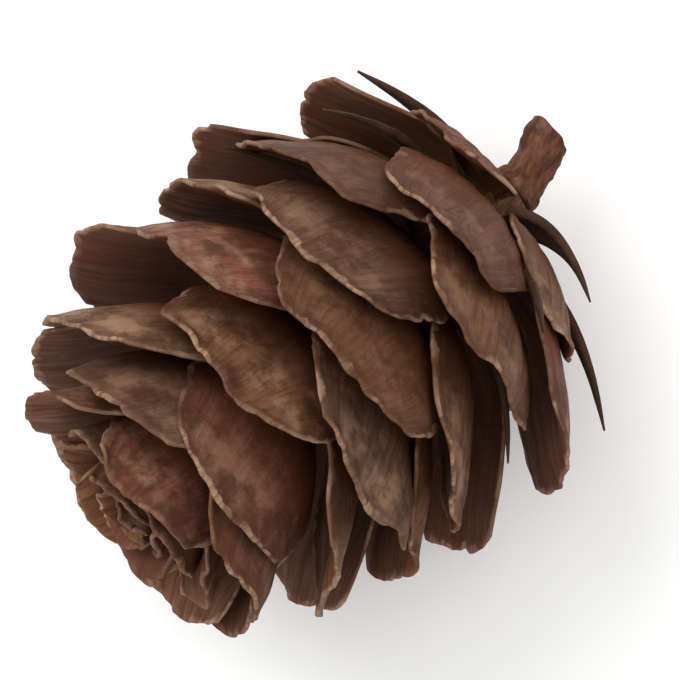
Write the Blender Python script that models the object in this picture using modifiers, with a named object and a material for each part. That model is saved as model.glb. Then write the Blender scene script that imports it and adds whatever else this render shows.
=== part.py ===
"""A dry larch cone with a stub of stalk: woody seed scales in spirals on a tapered axis.

Blender 4.5, metres, +Z up. Run with: blender --background --python part.py
It lies on Z = 0 on the edges of its lowest scales, with its tip towards +X and lifted.
"""

import math
import random

import bmesh
import bpy
from mathutils import Matrix, Vector

MM = 0.001
MERGE = 0.01 * MM

# The cone grows upright in its own frame: +Z runs from the stalk to the tip, and 0 is the foot.
AXIS_LENGTH = 24.5 * MM
AXIS_RADIUS = ((0.0, 1.9 * MM), (0.12, 2.5 * MM), (0.6, 2.0 * MM), (1.0, 0.8 * MM))
AXIS_CAP = 0.4 * MM
AXIS_SIDES = 11
FOOT_RADIUS = 1.7 * MM
FOOT_DROP = 0.6 * MM

# Seed scales, counted from the base. Each pair is (how far up the cone, value).
SCALE_COUNT = 56
GOLDEN_ANGLE = math.radians(137.508)
FIRST_SCALE = 1.0 * MM
BASE_CROWDING = 1.25
TIP_CROWDING = 1.5
SCALE_LENGTH = (
    (0.0, 7.5 * MM), (0.07, 11.0 * MM), (0.14, 13.6 * MM), (0.4, 14.2 * MM), (0.6, 13.4 * MM),
    (0.72, 10.0 * MM), (0.82, 6.8 * MM), (0.9, 4.6 * MM), (1.0, 2.8 * MM),
)
SCALE_WIDTH = (
    (0.0, 7.6 * MM), (0.07, 10.4 * MM), (0.14, 12.4 * MM), (0.5, 12.6 * MM), (0.7, 9.6 * MM),
    (0.82, 6.4 * MM), (0.9, 4.2 * MM), (1.0, 2.4 * MM),
)
ROOT_ANGLE = ((0.0, 112.0), (0.12, 108.0), (0.4, 92.0), (0.72, 66.0), (0.9, 44.0), (1.0, 16.0))
TIP_ANGLE = ((0.0, 52.0), (0.12, 40.0), (0.4, 31.0), (0.72, 25.0), (0.82, 18.0), (0.9, 10.0), (1.0, 2.0))
BEND_POWER = 2.0
SCALE_THICKNESS = 0.65 * MM
CLAW_SHARE = 0.3
BLADE_START = 0.5
BLADE_ROUNDNESS = 0.36
HUG = 0.95
HUG_RADIUS = 3.6 * MM
FLATTEST = 0.01
ROOT_DEPTH = 0.45

# Small differences from scale to scale.
SCALE_SEED = 161
SIZE_SPREAD = 0.08
ANGLE_SPREAD = 6.0
TURN_SPREAD = 4.0
TWIST_SPREAD = 7.0
WAVE = 0.28 * MM
WAVES_ACROSS = 1.3

# Mesh steps of a scale.
ROWS_CLAW = 1
ROWS_BLADE = 3
COLUMNS = 5
COLUMNS_AT_TIP = 4
TIP_FROM = 0.6
BEND_STEPS = 24

# Bracts: narrow pointed strips below the lower scales, with their points standing free.
BRACTS = (2, 3, 7, 8, 10, 15, 16, 20)
BRACT_LENGTH = 0.9
BRACT_LIFT = 14.0
BRACT_WIDTH = ((0.0, 2.2 * MM), (0.55, 1.8 * MM), (0.8, 0.9 * MM), (1.0, 0.5 * MM))
BRACT_DROP = 0.7 * MM
BRACT_ROWS = 5

# How the cone lies: the lift of its tip, its turn about its own axis, and the depth worn off
# where its lowest edges touch the ground.
LEAN = 23.25
ROLL = 148.0
FLAT_CUT = 0.25 * MM
GROUND_SIZE = 100.0 * MM
GROUND_DEPTH = 10.0 * MM

# The stalk goes on from the foot after a thin seat, bends, and ends where it broke off.
STALK_PATH = (
    ((0.0, 0.0, -0.9), 1.5), ((0.0, 0.0, -1.6), 1.3), ((0.35, 0.2, -2.7), 1.2),
    ((0.85, 0.4, -3.7), 1.4), ((1.15, 0.5, -4.4), 1.25),
)
STALK_SIDES = 3

CONE_COLOUR = (0.19, 0.095, 0.055, 1.0)
STALK_COLOUR = (0.13, 0.06, 0.035, 1.0)
CONE_ROUGHNESS = 0.72
STALK_ROUGHNESS = 0.85


def along(profile, t):
    """The value at t of a profile of (place, value) pairs, in straight lines between them."""
    for (t0, a), (t1, b) in zip(profile, profile[1:]):
        if t <= t1:
            return a + (b - a) * (t - t0) / (t1 - t0)
    return profile[-1][1]


def clear_scene():
    for obj in list(bpy.data.objects):
        bpy.data.objects.remove(obj)


def new_collection(name):
    made = bpy.data.collections.new(name)
    bpy.context.scene.collection.children.link(made)
    return made


def new_object(name, data, collection):
    made = bpy.data.objects.new(name, data)
    collection.objects.link(made)
    return made


def material(name, colour, roughness):
    made = bpy.data.materials.new(name)
    made.use_nodes = True
    shader = made.node_tree.nodes["Principled BSDF"]
    shader.inputs["Base Color"].default_value = colour
    shader.inputs["Roughness"].default_value = roughness
    shader.inputs["Metallic"].default_value = 0.0
    return made


def apply_modifiers(obj):
    """Gives the object the mesh that its modifiers make, and drops the modifiers."""
    graph = bpy.context.evaluated_depsgraph_get()
    made = bpy.data.meshes.new_from_object(obj.evaluated_get(graph))
    obj.modifiers.clear()
    obj.data = made


class Scale:
    """Where one seed scale grows and how it bends, in the upright cone's frame."""

    def __init__(self, index, draw):
        self.t = index / (SCALE_COUNT - 1)
        risen = 1 - (1 - self.t ** BASE_CROWDING) ** TIP_CROWDING
        self.height = FIRST_SCALE + (AXIS_LENGTH - FIRST_SCALE) * risen
        self.turn = index * GOLDEN_ANGLE + math.radians(draw.uniform(-TURN_SPREAD, TURN_SPREAD))
        self.length = along(SCALE_LENGTH, self.t) * (1 + draw.uniform(-SIZE_SPREAD, SIZE_SPREAD))
        self.width = along(SCALE_WIDTH, self.t) * (1 + draw.uniform(-SIZE_SPREAD, SIZE_SPREAD))
        open_by = draw.uniform(-ANGLE_SPREAD, ANGLE_SPREAD)
        self.root_angle = along(ROOT_ANGLE, self.t) + open_by
        self.tip_angle = along(TIP_ANGLE, self.t) + open_by
        self.twist = math.radians(draw.uniform(-TWIST_SPREAD, TWIST_SPREAD))
        self.phase = draw.uniform(0.0, 2 * math.pi)
        self.path = self.bend(self.height, self.length, 0.0)

    def bend(self, height, length, lift):
        """Points (radius, height, angle from the axis) from the root to the edge, down the middle."""
        radius = along(AXIS_RADIUS, height / AXIS_LENGTH) * (1 - ROOT_DEPTH)
        step = length / BEND_STEPS
        points = []
        for i in range(BEND_STEPS + 1):
            ease = (1 - i / BEND_STEPS) ** BEND_POWER
            angle = math.radians(self.tip_angle + (self.root_angle - self.tip_angle) * ease + lift)
            points.append((radius, height, angle))
            radius += math.sin(angle) * step
            height += math.cos(angle) * step
        return points

    def middle(self, path, s):
        place = min(max(s, 0.0), 1.0) * BEND_STEPS
        i = min(int(place), BEND_STEPS - 1)
        return [a + (b - a) * (place - i) for a, b in zip(path[i], path[i + 1])]

    def place(self, path, across, s, sink):
        """The point at a distance across from the middle line, sunk towards the tip side."""
        radius, height, angle = self.middle(path, s)
        curve = HUG * max(math.cos(angle), FLATTEST) / max(radius, HUG_RADIUS)
        side = math.sin(curve * across) / curve
        sink += (1 - math.cos(curve * across)) / curve
        point = Vector((radius - math.cos(angle) * sink, side, height + math.sin(angle) * sink))
        return Matrix.Rotation(self.turn, 3, "Z") @ point

    def blade_point(self, across, s):
        """A point of the scale, with its twist and the waves of its edge."""
        wave = math.sin(self.phase + 2 * math.pi * WAVES_ACROSS * across / self.width)
        return self.place(self.path, across, s, math.sin(self.twist) * across * s + WAVE * s * s * wave)


def blade_outline(u, q, width):
    """(across, share of the length) for u from -1 to 1 and q from 0 to 1 in the claw, to 2 in the blade."""
    if q <= 1:
        ease = q * q * (3 - 2 * q)
        return u * width / 2 * (CLAW_SHARE + (1 - CLAW_SHARE) * ease), BLADE_START * q
    q -= 1
    across = u * width / 2 * math.sqrt(1 - BLADE_ROUNDNESS * q * q)
    return across, BLADE_START + (1 - BLADE_START) * q * math.sqrt(1 - BLADE_ROUNDNESS * u * u)


def make_sheet(name, columns, rows, place, collection):
    """A grid bent by place(u, row) and thickened, with both faces in the same triangles."""
    shape = bmesh.new()
    bmesh.ops.create_grid(shape, x_segments=columns, y_segments=rows, size=1.0)
    for vertex in shape.verts:
        vertex.co = place(vertex.co.x, (vertex.co.y + 1) / 2 * rows)
    bmesh.ops.triangulate(shape, faces=shape.faces, quad_method="FIXED")
    mesh = bpy.data.meshes.new(name)
    shape.to_mesh(mesh)
    shape.free()
    made = new_object(name, mesh, collection)
    wall = made.modifiers.new("thickness", "SOLIDIFY")
    wall.thickness = SCALE_THICKNESS
    wall.offset = 0.0
    apply_modifiers(made)
    return made


def make_scale(name, scale, collection):
    """A seed scale: a narrow claw that widens into a rounded blade."""

    def place(u, row):
        q = row / ROWS_CLAW if row <= ROWS_CLAW else 1 + (row - ROWS_CLAW) / ROWS_BLADE
        return scale.blade_point(*blade_outline(u, q, scale.width))

    columns = COLUMNS if scale.t < TIP_FROM else COLUMNS_AT_TIP
    return make_sheet(name, columns, ROWS_CLAW + ROWS_BLADE, place, collection)


def make_bract(name, scale, collection):
    """The strip below a scale: it leaves the axis just under it and stands a little further out."""
    path = scale.bend(scale.height - BRACT_DROP, scale.length * BRACT_LENGTH, BRACT_LIFT)

    def place(u, row):
        s = row / BRACT_ROWS
        return scale.place(path, u * along(BRACT_WIDTH, s) / 2, s, 0.0)

    return make_sheet(name, 1, BRACT_ROWS, place, collection)


def make_axis(collection):
    """The woody spindle that carries the scales, turned from its profile."""
    profile = [(0.0, AXIS_LENGTH + AXIS_CAP)]
    profile += [(radius, t * AXIS_LENGTH) for t, radius in reversed(AXIS_RADIUS)]
    profile += [(FOOT_RADIUS, -FOOT_DROP), (0.0, -FOOT_DROP)]
    mesh = bpy.data.meshes.new("cone")
    steps = [(i, i + 1) for i in range(len(profile) - 1)]
    mesh.from_pydata([(radius, 0.0, z) for radius, z in profile], steps, [])
    made = new_object("cone", mesh, collection)
    turn = made.modifiers.new("turn", "SCREW")
    turn.steps = turn.render_steps = AXIS_SIDES
    turn.use_merge_vertices = True
    turn.merge_threshold = MERGE
    turn.use_normal_calculate = True
    apply_modifiers(made)
    return made


def keep_largest_shell(obj):
    """Drops the sealed hollows and the loose scraps that joining leaves."""
    shape = bmesh.new()
    shape.from_mesh(obj.data)
    left = set(shape.verts)
    shells = []
    while left:
        shell = {left.pop()}
        front = list(shell)
        while front:
            near = {edge.other_vert(vertex) for vertex in front for edge in vertex.link_edges} - shell
            shell |= near
            front = list(near)
        left -= shell
        shells.append(shell)
    shells.sort(key=len)
    for shell in shells[:-1]:
        bmesh.ops.delete(shape, geom=list(shell), context="VERTS")
    shape.to_mesh(obj.data)
    shape.free()


def make_cone(collection, growing):
    cone = make_axis(collection)
    draw = random.Random(SCALE_SEED)
    for i in range(SCALE_COUNT):
        scale = Scale(i, draw)
        make_scale(f"scale_{i:02d}", scale, growing)
        if i in BRACTS:
            make_bract(f"bract_{i:02d}", scale, growing)
    join = cone.modifiers.new("join", "BOOLEAN")
    join.operation = "UNION"
    join.operand_type = "COLLECTION"
    join.collection = growing
    join.solver = "MANIFOLD"
    apply_modifiers(cone)
    keep_largest_shell(cone)
    for obj in list(growing.objects):
        bpy.data.objects.remove(obj)
    return cone


def make_stalk(collection):
    curve = bpy.data.curves.new("stalk", "CURVE")
    curve.dimensions = "3D"
    curve.bevel_depth = MM
    curve.bevel_resolution = STALK_SIDES
    curve.use_fill_caps = True
    line = curve.splines.new("POLY")
    line.points.add(len(STALK_PATH) - 1)
    for point, (place, radius) in zip(line.points, STALK_PATH):
        point.co = (*(value * MM for value in place), 1.0)
        point.radius = radius
    return new_object("stalk", curve, collection)


def box_of(objects):
    """The lowest and highest corner of the objects in the world."""
    bpy.context.view_layer.update()
    graph = bpy.context.evaluated_depsgraph_get()
    points = []
    for obj in objects:
        shown = obj.evaluated_get(graph)
        points += [shown.matrix_world @ vertex.co for vertex in shown.to_mesh().vertices]
    low = Vector(min(point[i] for point in points) for i in range(3))
    high = Vector(max(point[i] for point in points) for i in range(3))
    return low, high


def lay_down(collection, cutters, cone, stalk):
    """Leans both on one empty, wears the lowest edges flat, and centres the box over the origin."""
    lying = new_object("lying", None, collection)
    cone.parent = lying
    stalk.parent = lying
    turn = Matrix.Rotation(math.radians(90 - LEAN), 4, "Y") @ Matrix.Rotation(math.radians(-ROLL), 4, "Z")
    lying.matrix_world = turn
    low, high = box_of((cone, stalk))
    lying.location.z = -low.z - FLAT_CUT
    bpy.context.view_layer.update()
    bpy.ops.mesh.primitive_cube_add(size=GROUND_SIZE, location=(0, 0, -GROUND_DEPTH / 2))
    ground = bpy.context.object
    ground.name = "ground"
    ground.scale.z = GROUND_DEPTH / GROUND_SIZE
    ground.hide_render = True
    ground.display_type = "WIRE"
    for home in list(ground.users_collection):
        home.objects.unlink(ground)
    cutters.objects.link(ground)
    bpy.context.view_layer.update()
    wear = cone.modifiers.new("wear", "BOOLEAN")
    wear.operation = "DIFFERENCE"
    wear.object = ground
    wear.solver = "MANIFOLD"
    apply_modifiers(cone)
    bpy.data.objects.remove(ground)
    low, high = box_of((cone, stalk))
    middle = (low + high) / 2
    lying.location += Vector((-middle.x, -middle.y, 0.0))


def main():
    clear_scene()
    parts = new_collection("larch_cone")
    cutters = new_collection("cutters")
    cone = make_cone(parts, cutters)
    stalk = make_stalk(parts)
    cone.data.materials.append(material("cone_scales", CONE_COLOUR, CONE_ROUGHNESS))
    stalk.data.materials.append(material("stalk_bark", STALK_COLOUR, STALK_ROUGHNESS))
    lay_down(parts, cutters, cone, stalk)


main()
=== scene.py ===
# %% [markdown]
# # A dry larch cone
#
# A larch cone is a woody spindle with seed scales growing off it in a spiral. This one is ripe
# and dry, so its scales have opened, and it lies on the edges of its lowest ones with its tip
# lifted. The CAD model gives its size and place. This lesson grows finer scales in the same
# places, with thin worn edges, fibres and weathered wood.

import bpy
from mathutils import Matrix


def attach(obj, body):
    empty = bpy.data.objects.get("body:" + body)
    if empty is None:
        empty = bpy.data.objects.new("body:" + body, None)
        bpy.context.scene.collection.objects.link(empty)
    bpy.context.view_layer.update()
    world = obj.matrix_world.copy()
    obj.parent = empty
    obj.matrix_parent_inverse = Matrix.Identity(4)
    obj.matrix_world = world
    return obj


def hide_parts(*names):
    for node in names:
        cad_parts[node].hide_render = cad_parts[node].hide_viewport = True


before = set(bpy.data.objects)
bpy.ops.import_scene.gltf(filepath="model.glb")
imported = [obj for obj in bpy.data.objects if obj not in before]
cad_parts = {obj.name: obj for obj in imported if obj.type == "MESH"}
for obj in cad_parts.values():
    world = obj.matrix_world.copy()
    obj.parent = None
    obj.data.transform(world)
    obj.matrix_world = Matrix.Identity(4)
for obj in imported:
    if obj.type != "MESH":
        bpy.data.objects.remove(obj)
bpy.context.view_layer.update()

# %% [markdown]
# ## The growing cone's numbers
#
# Every scale could be placed by hand, but a real cone follows one rule: each new scale sits a
# golden angle (137.5 degrees) further round than the last one and a little higher up. So the
# script keeps a few profiles, each a list of pairs (how far up the cone, value), and reads
# every scale's size and angle from them. They are the same ones that the CAD model uses, in
# metres, so each finer scale lands where its CAD one is.

# %% Profiles from the base to the tip
import math
import random

import bmesh
import bpy
from mathutils import Matrix, Vector, noise

MM = 0.001

AXIS_LENGTH = 24.5 * MM
AXIS_RADIUS = ((0.0, 1.9 * MM), (0.12, 2.5 * MM), (0.6, 2.0 * MM), (1.0, 0.8 * MM))
SCALE_COUNT = 56
GOLDEN_ANGLE = math.radians(137.508)
FIRST_SCALE = 1.0 * MM
BASE_CROWDING = 1.25
TIP_CROWDING = 1.5
SCALE_LENGTH = (
    (0.0, 7.5 * MM), (0.07, 11.0 * MM), (0.14, 13.6 * MM), (0.4, 14.2 * MM), (0.6, 13.4 * MM),
    (0.72, 10.0 * MM), (0.82, 6.8 * MM), (0.9, 4.6 * MM), (1.0, 2.8 * MM),
)
SCALE_WIDTH = (
    (0.0, 7.6 * MM), (0.07, 10.4 * MM), (0.14, 12.4 * MM), (0.5, 12.6 * MM), (0.7, 9.6 * MM),
    (0.82, 6.4 * MM), (0.9, 4.2 * MM), (1.0, 2.4 * MM),
)
ROOT_ANGLE = ((0.0, 112.0), (0.12, 108.0), (0.4, 92.0), (0.72, 66.0), (0.9, 44.0), (1.0, 16.0))
TIP_ANGLE = (
    (0.0, 52.0), (0.12, 40.0), (0.4, 31.0), (0.72, 25.0), (0.82, 18.0), (0.9, 10.0), (1.0, 2.0),
)
BEND_POWER = 2.0
BEND_STEPS = 24
CLAW_SHARE = 0.3
BLADE_START = 0.5
BLADE_ROUNDNESS = 0.36
HUG = 0.95
HUG_RADIUS = 3.6 * MM
FLATTEST = 0.01
ROOT_DEPTH = 0.45
print("scales:", SCALE_COUNT, "- longest", max(value for _, value in SCALE_LENGTH) / MM, "mm")

# %% How much the scales differ, and how a profile is read
SCALE_SEED = 161
SIZE_SPREAD = 0.08
ANGLE_SPREAD = 6.0
TURN_SPREAD = 4.0
TWIST_SPREAD = 7.0
WAVE = 0.28 * MM
WAVES_ACROSS = 1.3


def along(profile, t):
    """The value at t of a profile of (place, value) pairs, in straight lines between them."""
    for (t0, a), (t1, b) in zip(profile, profile[1:]):
        if t <= t1:
            return a + (b - a) * (t - t0) / (t1 - t0)
    return profile[-1][1]


def smooth_step(value):
    """Eases a value that goes from 0 to 1, and stays at 0 or 1 outside that range."""
    value = min(max(value, 0.0), 1.0)
    return value * value * (3 - 2 * value)


print("half way up the cone a scale is", round(along(SCALE_LENGTH, 0.5) / MM, 2), "mm long")

# %% [markdown]
# ## Where the cone lies
#
# The cone is grown upright, with its foot at the origin and its tip up +Z, because every rule
# of growth is simple there. One matrix then leans it over: a turn about its own axis, a lean
# until its tip points 23 degrees above the floor, and a shift. Baking that matrix into each mesh
# leaves the object itself at the origin, which is what the export needs.

# %% The matrix that lays the upright cone down
LEAN = 23.25
ROLL = 148.0
LYING = (
    Matrix.Translation(Vector((-11.34818, -0.21226, 7.02819)) * MM)
    @ Matrix.Rotation(math.radians(90 - LEAN), 4, "Y")
    @ Matrix.Rotation(math.radians(-ROLL), 4, "Z")
)
print("the foot lies at", [round(value / MM, 2) for value in LYING.translation], "mm")

# %% [markdown]
# ## One seed scale, as a place to stand on
#
# A seed scale is a tongue of wood. It leaves the spindle flat, bends up towards the tip, and
# curls round the cone like a spoon. The class below keeps the path down the middle of one scale
# and answers one question: where is the point so far across and so far along? Building on that
# question, and not on a fixed mesh, lets the CAD model use a coarse grid and this one a fine grid.

# %% The path and surface of a scale
class SeedScale:
    """One seed scale: its size, its angles and the path down its middle."""

    def __init__(self, index, draw):
        self.index = index
        self.t = index / (SCALE_COUNT - 1)
        risen = 1 - (1 - self.t ** BASE_CROWDING) ** TIP_CROWDING
        self.height = FIRST_SCALE + (AXIS_LENGTH - FIRST_SCALE) * risen
        self.turn = index * GOLDEN_ANGLE + math.radians(draw.uniform(-TURN_SPREAD, TURN_SPREAD))
        self.length = along(SCALE_LENGTH, self.t) * (1 + draw.uniform(-SIZE_SPREAD, SIZE_SPREAD))
        self.width = along(SCALE_WIDTH, self.t) * (1 + draw.uniform(-SIZE_SPREAD, SIZE_SPREAD))
        open_by = draw.uniform(-ANGLE_SPREAD, ANGLE_SPREAD)
        self.root_angle = along(ROOT_ANGLE, self.t) + open_by
        self.tip_angle = along(TIP_ANGLE, self.t) + open_by
        self.twist = math.radians(draw.uniform(-TWIST_SPREAD, TWIST_SPREAD))
        self.phase = draw.uniform(0.0, 2 * math.pi)
        self.path = self.bend(self.height, self.length, 0.0)

    def bend(self, height, length, lift):
        """The middle line as (radius, height, angle) points, opened by lift degrees more."""
        radius = along(AXIS_RADIUS, height / AXIS_LENGTH) * (1 - ROOT_DEPTH)
        step = length / BEND_STEPS
        points = []
        for i in range(BEND_STEPS + 1):
            ease = (1 - i / BEND_STEPS) ** BEND_POWER
            angle = math.radians(self.tip_angle + (self.root_angle - self.tip_angle) * ease + lift)
            points.append((radius, height, angle))
            radius += math.sin(angle) * step
            height += math.cos(angle) * step
        return points

    def middle(self, path, s):
        """The middle line's (radius, height, angle) at a share s of its length."""
        place = min(max(s, 0.0), 1.0) * BEND_STEPS
        i = min(int(place), BEND_STEPS - 1)
        return [a + (b - a) * (place - i) for a, b in zip(path[i], path[i + 1])]

    def place(self, path, across, s, sink):
        """The point that far across and along, sunk towards the spindle, with the scale hugging it."""
        radius, height, angle = self.middle(path, s)
        curve = HUG * max(math.cos(angle), FLATTEST) / max(radius, HUG_RADIUS)
        side = math.sin(curve * across) / curve
        sink += (1 - math.cos(curve * across)) / curve
        point = Vector((radius - math.cos(angle) * sink, side, height + math.sin(angle) * sink))
        return Matrix.Rotation(self.turn, 3, "Z") @ point

    def blade_point(self, across, s, lift):
        """A point of the seed scale itself, which is also twisted and waved."""
        wave = math.sin(self.phase + 2 * math.pi * WAVES_ACROSS * across / self.width)
        sink = math.sin(self.twist) * across * s + WAVE * s * s * wave - lift
        return self.place(self.path, across, s, sink)


draw = random.Random(SCALE_SEED)
scales = [SeedScale(i, draw) for i in range(SCALE_COUNT)]
lowest, highest = scales[0].height / MM, scales[-1].height / MM
print("the scales start from", round(lowest, 2), "to", round(highest, 2), "mm up the spindle")

# %% [markdown]
# ## The outline and the worn edge of a scale
#
# Seen flat, a scale is a narrow claw that widens into a rounded blade. On a real one the edge is
# never clean: it wavers, and a few nicks have broken out of it as it dried. The nicks could be
# cut with Booleans. Here the edge is pulled in by a formula instead, which costs nothing and
# leaves a clean grid. Each scale has a seeded random source of its own, so that the same cone
# grows every time.

# %% The broken edge
EDGE_SEED = 1000
NICKS = (1, 4)
NICK_PLACE = (-1.35, 1.35)
NICK_DEPTH = (0.015, 0.06)
NICK_WIDTH = (0.07, 0.16)
EDGE_WAVER = 0.05
WAVER_PACE = 2.2
EDGE_FRAY = 0.016
FRAY_PACE = 5
FAR_APART = 50


class Edge:
    """The broken edge of one scale."""

    def __init__(self, scale):
        draw = random.Random(EDGE_SEED + scale.index)
        self.nicks = [
            [draw.uniform(*limits) for limits in (NICK_PLACE, NICK_DEPTH, NICK_WIDTH)]
            for _ in range(draw.randint(*NICKS))
        ]
        self.offset = Vector([draw.uniform(0, FAR_APART) for _ in range(3)])
        self.tone = draw.random()
        self.age = draw.random()

    def loss(self, angle):
        """The share of the blade that is missing at an angle round the edge."""
        spot = self.offset + Vector((angle * WAVER_PACE, 0, 0))
        lost = EDGE_WAVER * (noise.noise(spot) + 0.25)
        lost += EDGE_FRAY * (noise.noise(spot * FRAY_PACE) + 0.3)
        for place, depth, width in self.nicks:
            lost += depth * max(0.0, 1 - abs(angle - place) / width)
        return lost


edges = [Edge(scale) for scale in scales]
print("nicks in all edges:", sum(len(edge.nicks) for edge in edges))

# %% [markdown]
# ## The form between the edges
#
# A drying scale is never quite flat. Fine ribs run along it, the whole blade is a little
# crumpled, and its end rolls back or in. All three are small heights added to the smooth form,
# from a cosine and from noise. They are real geometry, so they show in the outline too.

# %% Outline and relief
RIBS = 7
RIB_HEIGHT = 0.035 * MM
CRUMPLE = 0.16 * MM
CRUMPLE_SIZE = 3.0 * MM
CURL = 0.5 * MM
CURL_PACE = 2.3
CURL_ROW = 9.0
RECURVE = 0.3 * MM


def outline(u, q, scale, edge):
    """
    How far across and how far along its length, as a share, a grid point lies on a scale.
    u runs from -1 to 1 across it, and q from 0 to 1 in the claw and on to 2 in the blade.
    """
    half = scale.width / 2
    if q <= 1:
        ease = q * q * (3 - 2 * q)
        return u * half * (CLAW_SHARE + (1 - CLAW_SHARE) * ease), BLADE_START * q
    q -= 1
    kept = 1 - edge.loss(math.atan2(u, q)) * max(abs(u), q) ** 6
    across = u * half * math.sqrt(1 - BLADE_ROUNDNESS * q * q) * kept
    return across, BLADE_START + (1 - BLADE_START) * q * math.sqrt(1 - BLADE_ROUNDNESS * u * u) * kept


def relief(u, q, scale, edge):
    """How far the sheet stands out of its smooth form, towards the outer side."""
    across, s = outline(u, q, scale, edge)
    ribs = RIB_HEIGHT * math.cos(math.pi * RIBS * u) * min(1.0, q)
    spot = edge.offset + Vector((across, s * scale.length, 0)) / CRUMPLE_SIZE
    crumple = CRUMPLE * noise.noise(spot)
    end = max(0.0, q - 1)
    curl = CURL * end ** 2 * noise.noise(edge.offset + Vector((u * CURL_PACE, CURL_ROW, 0)))
    return ribs + crumple + curl + RECURVE * end ** 4


print("relief at one scale's end:", round(relief(0.0, 2.0, scales[20], edges[20]) / MM, 2), "mm")

# %% [markdown]
# ## From a flat grid to a thick scale
#
# The mesh starts as one flat grid. Extruding the whole grid makes a second layer joined to the
# first by a narrow wall, and one cut round that wall lets the edge be rounded. Every vertex
# remembers its place on the flat grid in layers, and a layer that a vertex keeps becomes an
# attribute that the material can read: how far it is from the edge, which side it is on, and how
# the fibres run. Solidify would give the same thickness everywhere. Here the scale is thick at
# its root and thin at its edge, as the real one is.

# %% A shell from a grid
COLUMNS = 36
ROWS = 26
THICK = 0.62 * MM
THIN = 0.2 * MM
THINS_OVER = 2.4 * MM
ROUNDING = 0.03 * MM
SMALL_UNDER = 8.0 * MM
STEP = 0.01


def shell(columns, rows):
    """A grid with a second layer and a wall between, and where each vertex is on it."""
    shape = bmesh.new()
    u_layer = shape.verts.layers.float.new("u")
    q_layer = shape.verts.layers.float.new("q")
    side_layer = shape.verts.layers.float.new("inner")
    bmesh.ops.create_grid(shape, x_segments=columns, y_segments=rows, size=1.0)
    for vertex in shape.verts:
        vertex[u_layer] = vertex.co.x
        vertex[q_layer] = vertex.co.y + 1
    made = bmesh.ops.extrude_face_region(shape, geom=shape.faces[:], use_keep_orig=True)
    for item in made["geom"]:
        if isinstance(item, bmesh.types.BMVert):
            item[side_layer] = 1.0
            item.co.z = 0.1
    walls = [edge for edge in shape.edges if abs(edge.verts[0].co.z - edge.verts[1].co.z) > 0.05]
    bmesh.ops.subdivide_edges(shape, edges=walls, cuts=1)
    bmesh.ops.recalc_face_normals(shape, faces=shape.faces[:])
    return shape, u_layer, q_layer, side_layer


trial = shell(4, 3)[0]
print("a small shell has", len(trial.verts), "vertices and", len(trial.faces), "faces")
trial.free()

# %% [markdown]
# ## The flats it rests on
#
# A cone that lies on a hard floor stands on the edges of its lowest scales, and they wear flat.
# Lifting the cone until nothing dips under the floor would leave it on bare points. A plane cuts
# those edges off at the floor instead, and the cut is closed, so each shell stays solid.

# %% Wear the lowest edges flat
def wear_flat(shape):
    """Cuts off what is under the floor and closes the cut, which leaves the small flat it rests on."""
    if min(vertex.co.z for vertex in shape.verts) >= 0:
        return
    bmesh.ops.bisect_plane(
        shape, geom=shape.verts[:] + shape.edges[:] + shape.faces[:],
        plane_co=(0, 0, 0), plane_no=(0, 0, -1), clear_outer=True,
    )
    open_edges = [edge for edge in shape.edges if edge.is_boundary]
    bmesh.ops.holes_fill(shape, edges=open_edges, sides=0)


trial = bmesh.new()
bmesh.ops.create_cube(trial, size=2.0)
wear_flat(trial)
print("a worn trial cube starts at", min(vertex.co.z for vertex in trial.verts), "and ends at 1")
trial.free()

# %% [markdown]
# ## Bending the shell into a seed scale
#
# Each vertex is placed on the scale's surface, pushed in or out by half the thickness there. On
# the inner side of every fertile scale two seeds lay side by side, and each left a shallow
# drop-shaped hollow. They show as you look down between the open scales, so they are pressed into
# the inner layer here.

# %% The seed hollows
SEED_DEPTH = 0.16 * MM
SEED_ACROSS, SEED_ALONG = 0.42, 0.62
SEED_HALF_WIDTH, SEED_HALF_LENGTH = 0.30, 0.62
SEED_TAPER = 0.35
SEED_SOFTNESS = 1.35
FERTILE_UP_TO = 0.8


def seed_hollow(u, q):
    """1 in the middle of a seed's hollow, 0 outside."""
    along_seed = (q - SEED_ALONG) / SEED_HALF_LENGTH
    narrow = SEED_HALF_WIDTH * (1 - SEED_TAPER * along_seed)
    across_seed = (abs(u) - SEED_ACROSS) / narrow
    return smooth_step(SEED_SOFTNESS - SEED_SOFTNESS * (along_seed ** 2 + across_seed ** 2))


print("scales with seed hollows:", sum(scale.t < FERTILE_UP_TO for scale in scales))

# %% Grow one scale
def point_on(scale, edge, u, q):
    across, s = outline(u, q, scale, edge)
    return scale.blade_point(across, s, relief(u, q, scale, edge))


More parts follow.
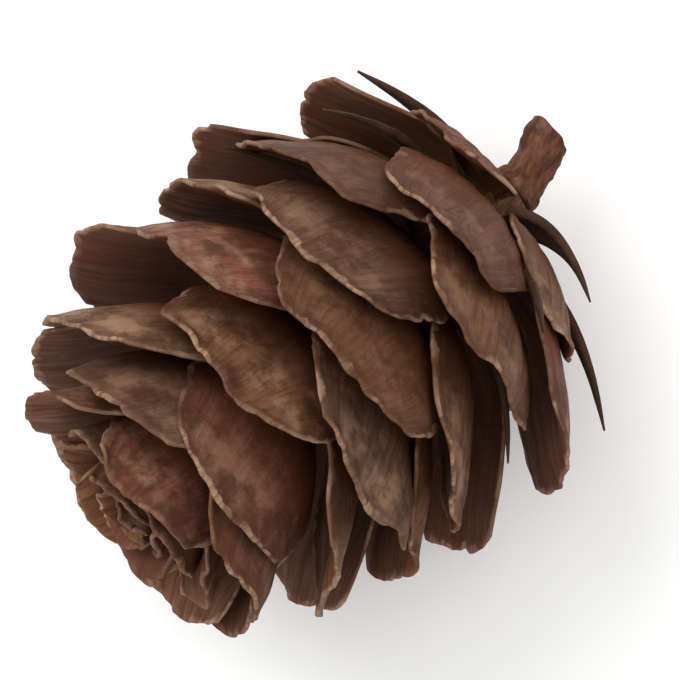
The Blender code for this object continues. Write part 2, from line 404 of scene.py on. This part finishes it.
def grow_scale(scale, edge, columns, rows):
    shape, u_layer, q_layer, side_layer = shell(columns, rows)
    grain = shape.verts.layers.float_vector.new("grain")
    rim = shape.verts.layers.float.new("rim")
    tone = shape.verts.layers.float.new("tone")
    age = shape.verts.layers.float.new("age")
    reach = shape.verts.layers.float.new("reach")
    seed = shape.verts.layers.float.new("seed")
    small = min(1.0, scale.length / SMALL_UNDER)
    for vertex in shape.verts:
        u, q, side = vertex[u_layer], vertex[q_layer], vertex[side_layer]
        here = point_on(scale, edge, u, q)
        run = point_on(scale, edge, u, q + STEP) - point_on(scale, edge, u, q - STEP)
        over = point_on(scale, edge, u + STEP, q) - point_on(scale, edge, u - STEP, q)
        out = over.cross(run).normalized()
        across, s = outline(u, q, scale, edge)
        from_side = (1 - abs(u)) * scale.width / 2 * (0.3 + 0.7 * min(1.0, q))
        from_end = (2 - q) * (1 - BLADE_START) * scale.length * 0.9
        from_rim = min(from_side, from_end)
        thick = THIN + (THICK - THIN) * smooth_step(from_rim / THINS_OVER) * small
        hollow = seed_hollow(u, q) if scale.t < FERTILE_UP_TO else 0.0
        if side == 0:
            here += out * thick / 2
        elif side == 1:
            here -= out * (thick / 2 - hollow * SEED_DEPTH)
        else:
            inward = point_on(scale, edge, u * 0.97, q * 0.985) - here
            here -= inward.normalized() * ROUNDING
        vertex.co = here
        vertex[grain] = Vector((u * scale.width / 2 / MM, s * scale.length / MM, edge.offset.x))
        vertex[rim] = from_rim / MM / small
        vertex[tone] = edge.tone
        vertex[age] = edge.age
        vertex[reach] = s
        vertex[seed] = hollow
    bmesh.ops.transform(shape, matrix=LYING, verts=shape.verts[:])
    wear_flat(shape)
    bmesh.ops.recalc_face_normals(shape, faces=shape.faces[:])
    return shape


trial = grow_scale(scales[20], edges[20], 8, 6)
print("a coarse trial scale has", len(trial.faces), "faces")
trial.free()

# %% [markdown]
# ## Growing all the scales
#
# All the scales could be one object. Two are used, the lower half and the upper half of the
# cone, which keeps each mesh small enough to handle and to print. The small scales of the tip
# need fewer faces than the broad ones.

# %% Lower and upper scales
FIRST_UPPER = 26
COARSER_FROM = 0.75
COARSER_BY = 0.62


def add_shape(target, shape):
    """Copies one finished shape into a growing mesh."""
    mesh = bpy.data.meshes.new("growing")
    shape.to_mesh(mesh)
    shape.free()
    target.from_mesh(mesh)
    bpy.data.meshes.remove(mesh)


def finish_piece(name, shape):
    """Makes a smooth object of a mesh, at the origin, riding on the cone's one body."""
    mesh = bpy.data.meshes.new(name)
    for face in shape.faces:
        face.smooth = True
    shape.to_mesh(mesh)
    shape.free()
    piece = bpy.data.objects.new(name, mesh)
    bpy.context.scene.collection.objects.link(piece)
    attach(piece, "root")
    mesh.calc_loop_triangles()
    print(name, "has", len(mesh.loop_triangles), "triangles")
    return piece


def grow_scales(name, first, last):
    together = bmesh.new()
    for scale, edge in zip(scales[first:last], edges[first:last]):
        fineness = 1.0 if scale.t < COARSER_FROM else COARSER_BY
        add_shape(together, grow_scale(scale, edge, int(COLUMNS * fineness), int(ROWS * fineness)))
    return finish_piece(name, together)


lower_scales = grow_scales("lower_scales", 0, FIRST_UPPER)
upper_scales = grow_scales("upper_scales", FIRST_UPPER, SCALE_COUNT)

# %% [markdown]
# ## Bracts
#
# Under each seed scale a larch grows a bract, a narrow pointed strip. Most stay hidden, and a
# few stand out beside the lower scales as dark spikes. Each is a narrow shell, made like a scale,
# with a rib down its middle and a point that turns a little to one side.

# %% Grow the bracts
BRACTS = (2, 3, 7, 8, 10, 15, 16, 20)
BRACT_LENGTH = 0.9
BRACT_LIFT = 14.0
BRACT_DROP = 0.7 * MM
BRACT_RIB = 0.14 * MM
BRACT_WIDTH = (
    (0.0, 2.2 * MM), (0.4, 1.7 * MM), (0.65, 1.0 * MM), (0.85, 0.5 * MM), (1.0, 0.12 * MM),
)
BRACT_THICK = ((0.0, 0.6 * MM), (0.5, 0.45 * MM), (0.85, 0.26 * MM), (1.0, 0.1 * MM))
BRACT_COLUMNS = 6
BRACT_ROWS = 34
POINT_TURN = 0.5 * MM


def bract_point(scale, path, u, s):
    turn = POINT_TURN * math.sin(scale.phase) * s ** 4
    rib = BRACT_RIB * (1 - abs(u)) * (1 - s)
    return scale.place(path, u * along(BRACT_WIDTH, s) / 2 + turn, s, -rib)


def grow_bract(scale, edge):
    path = scale.bend(scale.height - BRACT_DROP, scale.length * BRACT_LENGTH, BRACT_LIFT)
    shape, u_layer, q_layer, side_layer = shell(BRACT_COLUMNS, BRACT_ROWS)
    grain = shape.verts.layers.float_vector.new("grain")
    for vertex in shape.verts:
        u, s, side = vertex[u_layer], vertex[q_layer] / 2, vertex[side_layer]
        here = bract_point(scale, path, u, s)
        run = bract_point(scale, path, u, min(s + STEP, 1)) - bract_point(scale, path, u, s - STEP)
        over = bract_point(scale, path, u + STEP, s) - bract_point(scale, path, u - STEP, s)
        out = over.cross(run).normalized()
        vertex.co = here + out * along(BRACT_THICK, s) * (side - 0.5)
        across = u * along(BRACT_WIDTH, s) / 2
        vertex[grain] = Vector((across / MM, s * scale.length / MM, edge.offset.y))
    bmesh.ops.transform(shape, matrix=LYING, verts=shape.verts[:])
    wear_flat(shape)
    bmesh.ops.recalc_face_normals(shape, faces=shape.faces[:])
    return shape


together = bmesh.new()
for i in BRACTS:
    add_shape(together, grow_bract(scales[i], edges[i]))
bracts = finish_piece("bracts", together)

# %% [markdown]
# ## The spindle
#
# The spindle carries all the scales. Only glimpses of it show, deep between them and at the
# foot. It is turned from its profile with the spin operator, and its wall gets shallow grooves
# that wind up with the scales.

# %% Turn the spindle
AXIS_CAP = 0.4 * MM
FOOT_RADIUS = 1.7 * MM
FOOT_DROP = 0.6 * MM
SPINDLE_SIDES = 48
SPINDLE_RINGS = 40
GROOVES = 8
GROOVE_DEPTH = 0.12 * MM
GROOVE_WINDING = 1.6 * MM
CORE = 0.5 * MM

profile = [(0.0, -FOOT_DROP), (FOOT_RADIUS * 0.8, -FOOT_DROP), (FOOT_RADIUS, -FOOT_DROP * 0.8)]
profile += [
    (along(AXIS_RADIUS, i / SPINDLE_RINGS), i / SPINDLE_RINGS * AXIS_LENGTH)
    for i in range(SPINDLE_RINGS + 1)
]
profile.append((0.0, AXIS_LENGTH + AXIS_CAP))

shape = bmesh.new()
line = [shape.verts.new((radius, 0.0, z)) for radius, z in profile]
for a, b in zip(line, line[1:]):
    shape.edges.new((a, b))
bmesh.ops.spin(
    shape, geom=shape.verts[:] + shape.edges[:], cent=(0, 0, 0), axis=(0, 0, 1),
    angle=2 * math.pi, steps=SPINDLE_SIDES, use_merge=True,
)
bmesh.ops.remove_doubles(shape, verts=shape.verts[:], dist=0.001 * MM)
bmesh.ops.recalc_face_normals(shape, faces=shape.faces[:])
grain = shape.verts.layers.float_vector.new("grain")
for vertex in shape.verts:
    turn = math.atan2(vertex.co.y, vertex.co.x)
    vertex[grain] = Vector((turn * 2.0, vertex.co.z / MM, 0.0))
    deep = GROOVE_DEPTH * (0.5 + 0.5 * math.cos(GROOVES * turn + vertex.co.z / GROOVE_WINDING))
    flat = Vector((vertex.co.x, vertex.co.y, 0.0))
    if flat.length > CORE and vertex.co.z > 0:
        vertex.co -= flat.normalized() * deep
bmesh.ops.transform(shape, matrix=LYING, verts=shape.verts[:])
spindle = finish_piece("spindle", shape)

# %% [markdown]
# ## The stub of stalk
#
# The cone broke off its twig with a short stub. It is knobbly, with raised rings where leaves
# once sat, and it ends in torn fibres. A circle is extruded ring by ring along the bent path of
# the CAD stub, each ring a little thicker or thinner, and the last rings sink in and fray.

# %% The path and the bark of the stub
STALK_PATH = (
    ((0.0, 0.0, -0.66), 1.62), ((0.0, 0.0, -0.9), 1.55), ((0.0, 0.0, -1.6), 1.3),
    ((0.35, 0.2, -2.7), 1.2), ((0.85, 0.4, -3.7), 1.4), ((1.15, 0.5, -4.4), 1.22),
)
PATH_SOFTNESS = 0.35
KNOBS = 0.1 * MM
RINGS_OF_SCARS = 3.2


def stub_path(t):
    """(centre, radius) of the stub in metres at t from 0 at the cone to 1 at the break."""
    place = t * (len(STALK_PATH) - 1)
    i = min(int(place), len(STALK_PATH) - 2)
    blend = smooth_step(place - i) * PATH_SOFTNESS + (place - i) * (1 - PATH_SOFTNESS)
    (a, a_radius), (b, b_radius) = STALK_PATH[i], STALK_PATH[i + 1]
    centre = Vector(a).lerp(Vector(b), blend)
    return centre * MM, (a_radius + (b_radius - a_radius) * blend) * MM


def knobbly(turn, t):
    """How far the bark stands out, in metres: broad knobs, small knobs and rings of scars."""
    spot = Vector((math.cos(turn) * 1.7, math.sin(turn) * 1.7, t * 5.0))
    broad, fine = noise.noise(spot * 1.6), noise.noise(spot * 4.0)
    scars = max(0.0, math.sin(2 * math.pi * RINGS_OF_SCARS * t + 0.6 * math.sin(turn * 2)))
    return KNOBS * (broad + 0.5 * fine + 0.9 * scars ** 3)


print("the stub ends", round(-stub_path(1.0)[0].z / MM, 1), "mm below the cone's foot")

# %% Extrude the stub
STUB_SIDES = 40
STUB_RINGS = 34
BREAK_SHRINK = (1.0, 0.8, 0.5, 0.22)
BREAK_SINK = (0.0, 0.05 * MM, 0.16 * MM, 0.1 * MM)
FRAY_FROM = 0.96
FRAY = 0.22 * MM

shape = bmesh.new()
grain = shape.verts.layers.float_vector.new("grain")
cut = shape.verts.layers.float.new("cut")
start = bmesh.ops.create_circle(shape, cap_ends=True, segments=STUB_SIDES, radius=1.0)
rings = [start["verts"]]
ring_edges = list(shape.edges)
for i in range(STUB_RINGS + len(BREAK_SINK) - 1):
    made = bmesh.ops.extrude_edge_only(shape, edges=ring_edges)["geom"]
    ring = [item for item in made if isinstance(item, bmesh.types.BMVert)]
    new_edges = [item for item in made if isinstance(item, bmesh.types.BMEdge)]
    ring_edges = [item for item in new_edges if all(vertex in ring for vertex in item.verts)]
    rings.append(ring)
for number, ring in enumerate(rings):
    t = min(1.0, number / STUB_RINGS)
    sunk = max(0, number - STUB_RINGS)
    centre, radius = stub_path(t)
    for vertex in ring:
        turn = math.atan2(vertex.co.y, vertex.co.x)
        out = Vector((math.cos(turn), math.sin(turn), 0.0))
        torn = noise.noise(out * (1.5 + sunk) + Vector((0, 0, 7 + sunk)))
        rise = BREAK_SINK[sunk] + (0.0 if t < FRAY_FROM else FRAY * torn)
        out *= (radius + knobbly(turn, t)) * BREAK_SHRINK[sunk]
        vertex.co = centre + out + Vector((0, 0, rise))
        vertex[grain] = Vector((turn * 1.4, t * 4.0 - sunk, 3.0))
        vertex[cut] = min(1.0, sunk)
bmesh.ops.contextual_create(shape, geom=ring_edges)
bmesh.ops.recalc_face_normals(shape, faces=shape.faces[:])
bmesh.ops.transform(shape, matrix=LYING, verts=shape.verts[:])
stub = finish_piece("stub", shape)

# %% [markdown]
# ## Hiding the CAD nodes that the pieces stand in for
#
# The CAD cone and stalk stay in the file for collision, hidden, and the finer pieces are shown
# in their place.

# %% Stand in for the CAD nodes
for piece in (lower_scales, upper_scales, bracts, spindle):
    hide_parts("cone")
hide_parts("stalk")
print("CAD nodes with finer pieces in their place: cone, stalk")

# %% [markdown]
# ## Small helpers for materials
#
# A material is a tree of nodes. It could be wired by hand in the shader editor, but then nobody
# could read it here. Adding a node, setting it and linking it takes several lines each time, so
# small helpers do it in one. Every helper takes either a plain value or another node's output.

# %% Node helpers
def put(socket, value):
    """Sets a socket to a value, or links it to another socket."""
    if isinstance(value, bpy.types.NodeSocket):
        socket.id_data.links.new(value, socket)
    else:
        socket.default_value = value


def add(tree, kind, inputs=None, **settings):
    """Adds a node to a tree, with its settings and its inputs by name or number."""
    node = tree.nodes.new("ShaderNode" + kind)
    for name, value in settings.items():
        setattr(node, name, value)
    for name, value in (inputs or {}).items():
        put(node.inputs[name], value)
    return node


def calculate(tree, operation, a, b):
    """Adds, subtracts, multiplies or divides two values."""
    return add(tree, "Math", {0: a, 1: b}, operation=operation).outputs[0]


def remap(tree, value, low, high, to_low=0.0, to_high=1.0):
    """Eases a value's range into another range, and holds it at both ends."""
    made = add(
        tree, "MapRange",
        {"Value": value, "From Min": low, "From Max": high, "To Min": to_low, "To Max": to_high},
        interpolation_type="SMOOTHSTEP",
    )
    return made.outputs["Result"]


def mix(tree, share, a, b):
    """Covers colour a with a share of colour b."""
    return add(tree, "Mix", {0: share, 6: a, 7: b}, data_type="RGBA").outputs[2]


def attribute(tree, name):
    return add(tree, "Attribute", attribute_name=name)


def colour(red, green, blue):
    """An opaque colour, in the linear values that the shader works with."""
    return (red, green, blue, 1.0)


print("node helpers are ready")

# %% Group and material helpers
DRY_GLOSS = 0.12


def new_group(name, inputs, outputs):
    """An empty node group with named sockets, and its inner input and output nodes."""
    group = bpy.data.node_groups.new(name, "ShaderNodeTree")
    for title, kind, value in inputs:
        socket = group.interface.new_socket(title, in_out="INPUT", socket_type="NodeSocket" + kind)
        if value is not None:
            socket.default_value = value
    for title, kind in outputs:
        group.interface.new_socket(title, in_out="OUTPUT", socket_type="NodeSocket" + kind)
    start = group.nodes.new("NodeGroupInput").outputs
    end = group.nodes.new("NodeGroupOutput").inputs
    return group, start, end


def use_group(tree, group, inputs):
    node = add(tree, "Group", node_tree=group)
    for name, value in inputs.items():
        put(node.inputs[name], value)
    return node.outputs


def new_material(name, roughness):
    """A matt material, with its node tree and its shader."""
    made = bpy.data.materials.new(name)
    made.use_nodes = True
    shader = made.node_tree.nodes["Principled BSDF"]
    shader.inputs["Metallic"].default_value = 0.0
    shader.inputs["Roughness"].default_value = roughness
    shader.inputs["Specular IOR Level"].default_value = DRY_GLOSS
    return made, made.node_tree, shader


print("dry wood reflects with a specular level of", DRY_GLOSS)

# %% [markdown]
# ## Fibres
#
# Dry cone wood is made of long fibres that run from the root of each scale to its edge. A noise
# squeezed in one direction looks just like them, and wave bands would look too regular. The
# group reads the run of the scale in millimetres, so the fibres bend with the scale and have the
# same width on each one. A coarse and a fine noise together give both the colour and the bump.

# %% The fibre group
fibres, start, end = new_group(
    "wood_fibres",
    [("Run", "Vector", None), ("Threads", "Float", 3.0), ("Length", "Float", 12.0)],
    [("Tone", "Float"), ("Height", "Float")],
)
drift = add(fibres, "TexNoise", {"Vector": start["Run"], "Scale": 0.35, "Detail": 2.0}).outputs[0]
split = add(fibres, "SeparateXYZ", {"Vector": start["Run"]}).outputs
sideways = calculate(fibres, "ADD", split["X"], calculate(fibres, "MULTIPLY", drift, 0.7))
x = calculate(fibres, "MULTIPLY", sideways, start["Threads"])
y = calculate(fibres, "MULTIPLY", split["Y"], start["Threads"])
y = calculate(fibres, "DIVIDE", y, start["Length"])
squeezed = add(fibres, "CombineXYZ", {"X": x, "Y": y, "Z": split["Z"]}).outputs[0]
streaks = []
for fineness, share in ((0.55, 0.6), (1.7, 0.4)):
    inputs = {"Vector": squeezed, "Scale": fineness, "Detail": 3.0, "Roughness": 0.6}
    streak = add(fibres, "TexNoise", inputs).outputs[0]
    streaks.append(calculate(fibres, "MULTIPLY", streak, share))
both = calculate(fibres, "ADD", *streaks)
put(end["Tone"], remap(fibres, both, 0.37, 0.63))
put(end["Height"], both)
print(fibres.name, "group is ready")

# %% [markdown]
# ## Worn edges
#
# The thin edge of a scale loses its dark skin first and turns pale. The group turns a distance
# from the edge into a mask, and a noise breaks it up so that it never looks like a drawn line.
# It is used twice: narrow for the bare edge, and wide for the darker band that runs behind it.

# %% The worn edge group
worn_edge, start, end = new_group(
    "worn_edge",
    [
        ("Distance", "Float", 1.0), ("Run", "Vector", None),
        ("Width", "Float", 0.5), ("Break Up", "Float", 0.8),
    ],
    [("Mask", "Float")],
)
blotch = add(worn_edge, "TexNoise", {"Vector": start["Run"], "Scale": 0.9, "Detail": 3.0}).outputs[0]
push = calculate(worn_edge, "SUBTRACT", blotch, 0.5)
push = calculate(worn_edge, "MULTIPLY", push, start["Break Up"])
moved = calculate(worn_edge, "ADD", start["Distance"], calculate(worn_edge, "MULTIPLY", push, 2.0))
put(end["Mask"], remap(worn_edge, calculate(worn_edge, "DIVIDE", moved, start["Width"]), 1.0, 0.2))
print(worn_edge.name, "group is ready")

# %% [markdown]
# ## Weathering and dust
#
# Rain and sun bleach a cone in soft patches, and dust settles as fine specks. Both are noises in
# the space of the object, at two very different sizes, so that a patch can run on from one scale
# to the next.

# %% The weathering group
weathering, start, end = new_group(
    "weathering",
    [("Place", "Vector", None), ("Patch", "Float", 5.0), ("Amount", "Float", 0.5)],
    [("Patches", "Float"), ("Specks", "Float")],
)
size = calculate(weathering, "DIVIDE", 1 / MM, start["Patch"])
inputs = {"Vector": start["Place"], "Scale": size, "Detail": 4.0, "Roughness": 0.6}
patch = add(weathering, "TexNoise", inputs).outputs[0]
bar = calculate(weathering, "SUBTRACT", 0.78, calculate(weathering, "MULTIPLY", start["Amount"], 0.4))
put(end["Patches"], remap(weathering, calculate(weathering, "SUBTRACT", patch, bar), -0.08, 0.12))
inputs = {"Vector": start["Place"], "Scale": 1700.0, "Detail": 3.0}
speck = add(weathering, "TexNoise", inputs).outputs[0]
put(end["Specks"], remap(weathering, speck, 0.58, 0.74))
print(weathering.name, "group is ready")

# %% [markdown]
# ## The wood of the seed scales
#
# The colour is built up in layers, like paint. Most layers answer to something real, but the
# dark red-brown towards each scale's root is painted shade, and the bleached patches near its
# end carry a painted highlight as well. Two random values belong to each scale. Its tone makes
# it warm, reddish or greyish brown, and its age says how dark it has stayed and how much sun has
# bleached it. Each kind of wood below is a pair of colours, between the fibres and on them.

# %% Colours of the wood
WARM_WOOD = colour(0.10, 0.042, 0.02), colour(0.17, 0.075, 0.037)
RED_WOOD = colour(0.11, 0.036, 0.022), colour(0.19, 0.067, 0.044)
GREY_WOOD = colour(0.076, 0.041, 0.025), colour(0.14, 0.08, 0.052)
INNER_WOOD = colour(0.1, 0.038, 0.017), colour(0.175, 0.074, 0.034)
BARE_WOOD = colour(0.21, 0.11, 0.064), colour(0.43, 0.275, 0.185)
# Partly sun bleaching and partly a painted highlight on the exposed ends of the outer faces.
BLEACH_AND_PAINTED_HIGHLIGHT = colour(0.315, 0.178, 0.108)
MOTTLES = colour(0.055, 0.02, 0.009)
DARK_BAND = colour(0.058, 0.022, 0.011)
DARK_SCALE = colour(0.075, 0.026, 0.013)
# Painted shade: the outer face's colour towards its root, where the next scale shades it.
OUTER_ROOT_PAINTED_SHADE = colour(0.085, 0.026, 0.008)
INNER_RED = colour(0.12, 0.04, 0.025)
INNER_DARK = colour(0.07, 0.026, 0.013)
# Painted shade: the inner face's colour towards its root, deep between the scales.
INNER_ROOT_PAINTED_SHADE = colour(0.08, 0.025, 0.008)
SEED_MARK = colour(0.22, 0.105, 0.05)
DUST = colour(0.3, 0.2, 0.12)
print("the palest bare wood is", BARE_WOOD[1][:3])

# %% What the scale wood reads
scale_wood, tree, shader = new_material("seed_scale_wood", 0.7)
run = attribute(tree, "grain").outputs["Vector"]
rim, inner, tone, age, reach, seed = [
    attribute(tree, name).outputs["Fac"] for name in ("rim", "inner", "tone", "age", "reach", "seed")
]
place = add(tree, "TexCoord").outputs["Object"]

fibre = use_group(tree, fibres, {"Run": run, "Threads": 5.5, "Length": 18.0})
weather = use_group(tree, weathering, {"Place": place, "Patch": 2.8, "Amount": 0.66})
worn = use_group(tree, worn_edge, {"Distance": rim, "Run": run, "Width": 0.3, "Break Up": 0.9})
band = use_group(tree, worn_edge, {"Distance": rim, "Run": run, "Width": 1.5, "Break Up": 1.4})
mottle_inputs = {"Vector": place, "Scale": 480.0, "Detail": 4.0, "Roughness": 0.65}
mottle = add(tree, "TexNoise", mottle_inputs).outputs[0]
rubbed = add(tree, "TexNoise", {"Vector": place, "Scale": 330.0, "Detail": 3.0}).outputs[0]
print("the scale wood starts with", len(tree.nodes), "nodes")

# %% [markdown]
# ## The outer face
#
# This is the face that the sun reaches. From the bottom up: the wood by its tone, bleached
# patches near the end of the scale that are partly sun bleaching and partly painted highlight,
# dark mottles, a darker skin on the younger scales, a broken dark band along the edge, and a
# painted shade, a deep red-brown towards the root, where the scale lies in the shade of the next.

# %% Paint the outer face
outside = mix(tree, fibre["Tone"], *WARM_WOOD)
outside = mix(tree, remap(tree, tone, 0.55, 0.8), outside, mix(tree, fibre["Tone"], *RED_WOOD))
outside = mix(tree, remap(tree, tone, 0.45, 0.1), outside, mix(tree, fibre["Tone"], *GREY_WOOD))
# Patches near the scale's end: partly sun bleaching, partly a painted highlight where light falls.
bleach_and_highlight = calculate(tree, "MULTIPLY", weather["Patches"], remap(tree, reach, 0.55, 0.8))
bleach_and_highlight = calculate(tree, "MULTIPLY", bleach_and_highlight, remap(tree, age, 0.1, 0.9, 0.35, 0.8))
outside = mix(tree, bleach_and_highlight, outside, BLEACH_AND_PAINTED_HIGHLIGHT)
outside = mix(tree, remap(tree, mottle, 0.56, 0.36, 0.0, 0.8), outside, MOTTLES)
outside = mix(tree, remap(tree, age, 0.5, 0.0, 0.0, 0.5), outside, DARK_SCALE)
outside = mix(tree, calculate(tree, "MULTIPLY", band["Mask"], 0.5), outside, DARK_BAND)
# Painted shade: the outer face darkens towards its root, where the scales shade each other.
shaded = calculate(tree, "MULTIPLY", remap(tree, reach, 0.82, 0.45), 0.8)
outside = mix(tree, shaded, outside, OUTER_ROOT_PAINTED_SHADE)
print("with the outer face it has", len(tree.nodes), "nodes")

# %% [markdown]
# ## The inner face and the bare edge
#
# The inner face was pressed against the seeds, so it is smoother and plainer, with two paler
# marks where they lay. On both faces the edge has worn through to pale, streaky wood in places,
# and a little dust lies everywhere. The same fibre height drives the gloss and the bump: ridges
# are rubbed a little smoother than the furrows between them.

# %% Paint the inner face, the edge and the bump
inside = mix(tree, fibre["Tone"], *INNER_WOOD)
inside = mix(tree, remap(tree, tone, 0.5, 0.95, 0.0, 0.6), inside, INNER_RED)
inside = mix(tree, remap(tree, age, 0.55, 0.05, 0.0, 0.5), inside, INNER_DARK)
inside = mix(tree, calculate(tree, "MULTIPLY", seed, 0.6), inside, SEED_MARK)
# Painted shade: the inner face darkens towards its root, deep between the scales.
inside = mix(tree, remap(tree, reach, 0.9, 0.4, 0.0, 0.85), inside, INNER_ROOT_PAINTED_SHADE)
wood = mix(tree, inner, outside, inside)
bare = calculate(tree, "MULTIPLY", worn["Mask"], remap(tree, rubbed, 0.42, 0.64, 0.08, 0.7))
wood = mix(tree, bare, wood, mix(tree, fibre["Tone"], *BARE_WOOD))
wood = mix(tree, calculate(tree, "MULTIPLY", weather["Specks"], 0.12), wood, DUST)
put(shader.inputs["Base Color"], wood)
put(shader.inputs["Roughness"], remap(tree, fibre["Height"], 0.3, 0.7, 0.8, 0.58))
bump = add(tree, "Bump", {"Height": fibre["Height"], "Strength": 0.75, "Distance": 0.12 * MM})
put(shader.inputs["Normal"], bump.outputs["Normal"])
for piece in (lower_scales, upper_scales):
    piece.data.materials.append(scale_wood)
print(scale_wood.name, "has", len(tree.nodes), "nodes")

# %% [markdown]
# ## Bracts and spindle
#
# Both are darker than the scales, with the same fibres. The bracts are dry, nearly black strips
# with a little bleaching. The spindle only shows in the gaps, so fibres alone are enough there.

# %% Bract wood
bract_wood, tree, shader = new_material("bract_wood", 0.75)
run = attribute(tree, "grain").outputs["Vector"]
place = add(tree, "TexCoord").outputs["Object"]
fibre = use_group(tree, fibres, {"Run": run, "Threads": 4.0, "Length": 16.0})
weather = use_group(tree, weathering, {"Place": place, "Patch": 2.5, "Amount": 0.4})
wood = mix(tree, fibre["Tone"], colour(0.026, 0.011, 0.006), colour(0.065, 0.03, 0.016))
patches = calculate(tree, "MULTIPLY", weather["Patches"], 0.25)
wood = mix(tree, patches, wood, colour(0.15, 0.08, 0.042))
put(shader.inputs["Base Color"], wood)
bump = add(tree, "Bump", {"Height": fibre["Height"], "Strength": 0.7, "Distance": 0.1 * MM})
put(shader.inputs["Normal"], bump.outputs["Normal"])
bracts.data.materials.append(bract_wood)
print(bract_wood.name, "has", len(tree.nodes), "nodes")

# %% Spindle wood
spindle_wood, tree, shader = new_material("spindle_wood", 0.8)
run = attribute(tree, "grain").outputs["Vector"]
fibre = use_group(tree, fibres, {"Run": run, "Threads": 2.5, "Length": 6.0})
wood = mix(tree, fibre["Tone"], colour(0.045, 0.018, 0.01), colour(0.12, 0.055, 0.028))
put(shader.inputs["Base Color"], wood)
bump = add(tree, "Bump", {"Height": fibre["Height"], "Strength": 0.8, "Distance": 0.15 * MM})
put(shader.inputs["Normal"], bump.outputs["Normal"])
spindle.data.materials.append(spindle_wood)
print(spindle_wood.name, "has", len(tree.nodes), "nodes")

# %% [markdown]
# ## Bark of the stub
#
# The bark is reddish brown and flaky, with shorter streaks and a deeper bump than the scales.
# The torn end shows the pale wood inside. An attribute that is 1 on the last rings of the mesh
# tells the two apart, so that one material does for the whole piece.

# %% Stub bark
stub_bark, tree, shader = new_material("stub_bark", 0.85)
run = attribute(tree, "grain").outputs["Vector"]
cut_share = attribute(tree, "cut").outputs["Fac"]
place = add(tree, "TexCoord").outputs["Object"]
fibre = use_group(tree, fibres, {"Run": run, "Threads": 3.0, "Length": 3.0})
weather = use_group(tree, weathering, {"Place": place, "Patch": 1.6, "Amount": 0.5})
bark = mix(tree, fibre["Tone"], colour(0.055, 0.021, 0.012), colour(0.15, 0.06, 0.033))
patches = calculate(tree, "MULTIPLY", weather["Patches"], 0.6)
bark = mix(tree, patches, bark, colour(0.2, 0.125, 0.075))
torn = mix(tree, fibre["Tone"], colour(0.16, 0.09, 0.05), colour(0.38, 0.25, 0.15))
put(shader.inputs["Base Color"], mix(tree, cut_share, bark, torn))
bump = add(tree, "Bump", {"Height": fibre["Height"], "Strength": 0.9, "Distance": 0.18 * MM})
put(shader.inputs["Normal"], bump.outputs["Normal"])
stub.data.materials.append(stub_bark)
print(stub_bark.name, "has", len(tree.nodes), "nodes")

# %% [markdown]
# ## Floor and light
#
# The cone lies on a plain white sheet under soft light. The floor is one large plane, nearly
# white. Most of the light comes from the whole sky. A broad lamp up and to the left of the
# picture gives the scales their form, and a weaker one on the right keeps their far sides from
# going black. Two directions are named first, right and up in the picture, so that the lamps and
# the camera are placed by the picture and not by the cone.

# %% The picture's directions and the floor
scene = bpy.context.scene
scene.view_settings.view_transform = "Standard"
PICTURE_TURN = math.radians(138.6)
RIGHT = Vector((math.cos(PICTURE_TURN), math.sin(PICTURE_TURN), 0.0))
UP = Vector((-math.sin(PICTURE_TURN), math.cos(PICTURE_TURN), 0.0))

sheet = bmesh.new()
bmesh.ops.create_grid(sheet, x_segments=1, y_segments=1, size=1.5)
floor_mesh = bpy.data.meshes.new("floor")
sheet.to_mesh(floor_mesh)
sheet.free()
floor = bpy.data.objects.new("floor", floor_mesh)
scene.collection.objects.link(floor)
paper, tree, shader = new_material("white_sheet", 0.9)
shader.inputs["Base Color"].default_value = colour(0.93, 0.93, 0.925)
floor.data.materials.append(paper)
print("right in the picture is", [round(value, 2) for value in RIGHT])

# %% Sky and lamps
SKY_STRENGTH = 0.94
ABOVE = Vector((0.0, 0.0, 1.0))

world = bpy.data.worlds.new("soft_sky")
scene.world = world
world.use_nodes = True
world.node_tree.nodes["Background"].inputs["Color"].default_value = colour(1.0, 1.0, 1.0)
world.node_tree.nodes["Background"].inputs["Strength"].default_value = SKY_STRENGTH


def lamp(name, direction, distance, size, energy):
    """A round lamp of a size in metres that shines on the cone from a direction."""
    data = bpy.data.lights.new(name, "AREA")
    data.shape = "DISK"
    data.size = size
    data.energy = energy
    made = bpy.data.objects.new(name, data)
    scene.collection.objects.link(made)
    made.location = direction.normalized() * distance
    made.rotation_euler = direction.to_track_quat("Z", "Y").to_euler()


lamp("window", RIGHT * -0.75 + UP * 0.9 + ABOVE * 1.2, distance=0.6, size=0.55, energy=2.35)
lamp("second_window", RIGHT * 0.5 + UP * 0.3 + ABOVE * 1.4, distance=0.7, size=0.5, energy=0.8)
print("the sky and", len(bpy.data.lights), "lamps are lit")

# %% [markdown]
# ## Camera
#
# The photograph looks down on the cone, whose tip points to the lower left of the picture and is
# raised towards the camera. Lying alone on a floor the cone raises its tip a little less, so the
# camera leans 7 degrees off the vertical, from the tip's side, to see as much of the tip. A long
# lens from some distance keeps the cone's shape true, as it is in the photograph.

# %% Camera
FAR = 0.5
SENSOR = 36.0
SEEN = 36.0 * MM
TILT = math.radians(7.0)
AIM = Vector((-0.5 * MM, 0.0, 12.0 * MM))
camera_data = bpy.data.cameras.new("camera")
camera_data.sensor_width = SENSOR
camera_data.lens = SENSOR * FAR / SEEN
camera = bpy.data.objects.new("camera", camera_data)
scene.collection.objects.link(camera)
back = (ABOVE * math.cos(TILT) + RIGHT * math.sin(TILT)).normalized()
right = UP.cross(back).normalized()
turned = Matrix((right, back.cross(right), back)).transposed().to_4x4()
camera.matrix_world = Matrix.Translation(AIM + back * FAR) @ turned
scene.camera = camera
print("lens", round(camera_data.lens), "mm, picture", round(SEEN / MM, 1), "mm wide")
